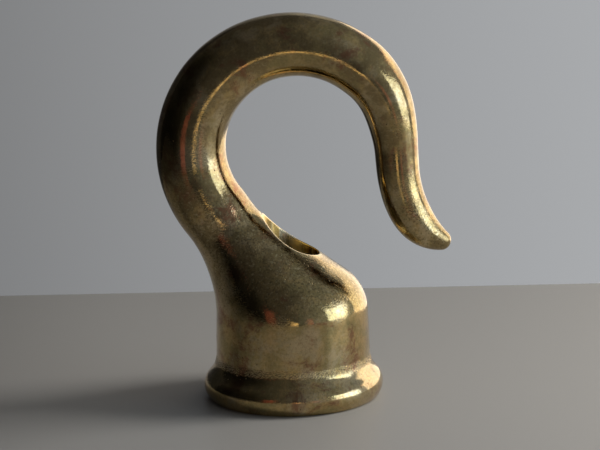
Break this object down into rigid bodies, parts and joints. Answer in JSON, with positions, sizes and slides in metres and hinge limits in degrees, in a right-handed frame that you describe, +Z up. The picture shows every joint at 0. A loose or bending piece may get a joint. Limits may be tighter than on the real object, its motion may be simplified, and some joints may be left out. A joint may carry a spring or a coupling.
{
  "type": "lamp ceiling hook",
  "caption": "Solid cast brass lamp hook: beaded threaded cup with a cord outlet in its sloping shoulder, rising into a tapered open crook whose tip curls outwards.",
  "frame": {"origin": "centre of the rim's flat underside, on the axis of the threaded cup", "axes": "+Z up the cup's axis from the rim towards the crook, +X from that axis towards the crook's open side and tip, +Y across the bar's thickness"},
  "size_m": [0.0299, 0.0186, 0.0397],
  "materials": {
    "brass": "cast and buffed, aged to an olive brown with bright worn edges and fine pits"
  },
  "bodies": {
    "root": {"lamp_hook": "brass"}
  },
  "joints": []
}
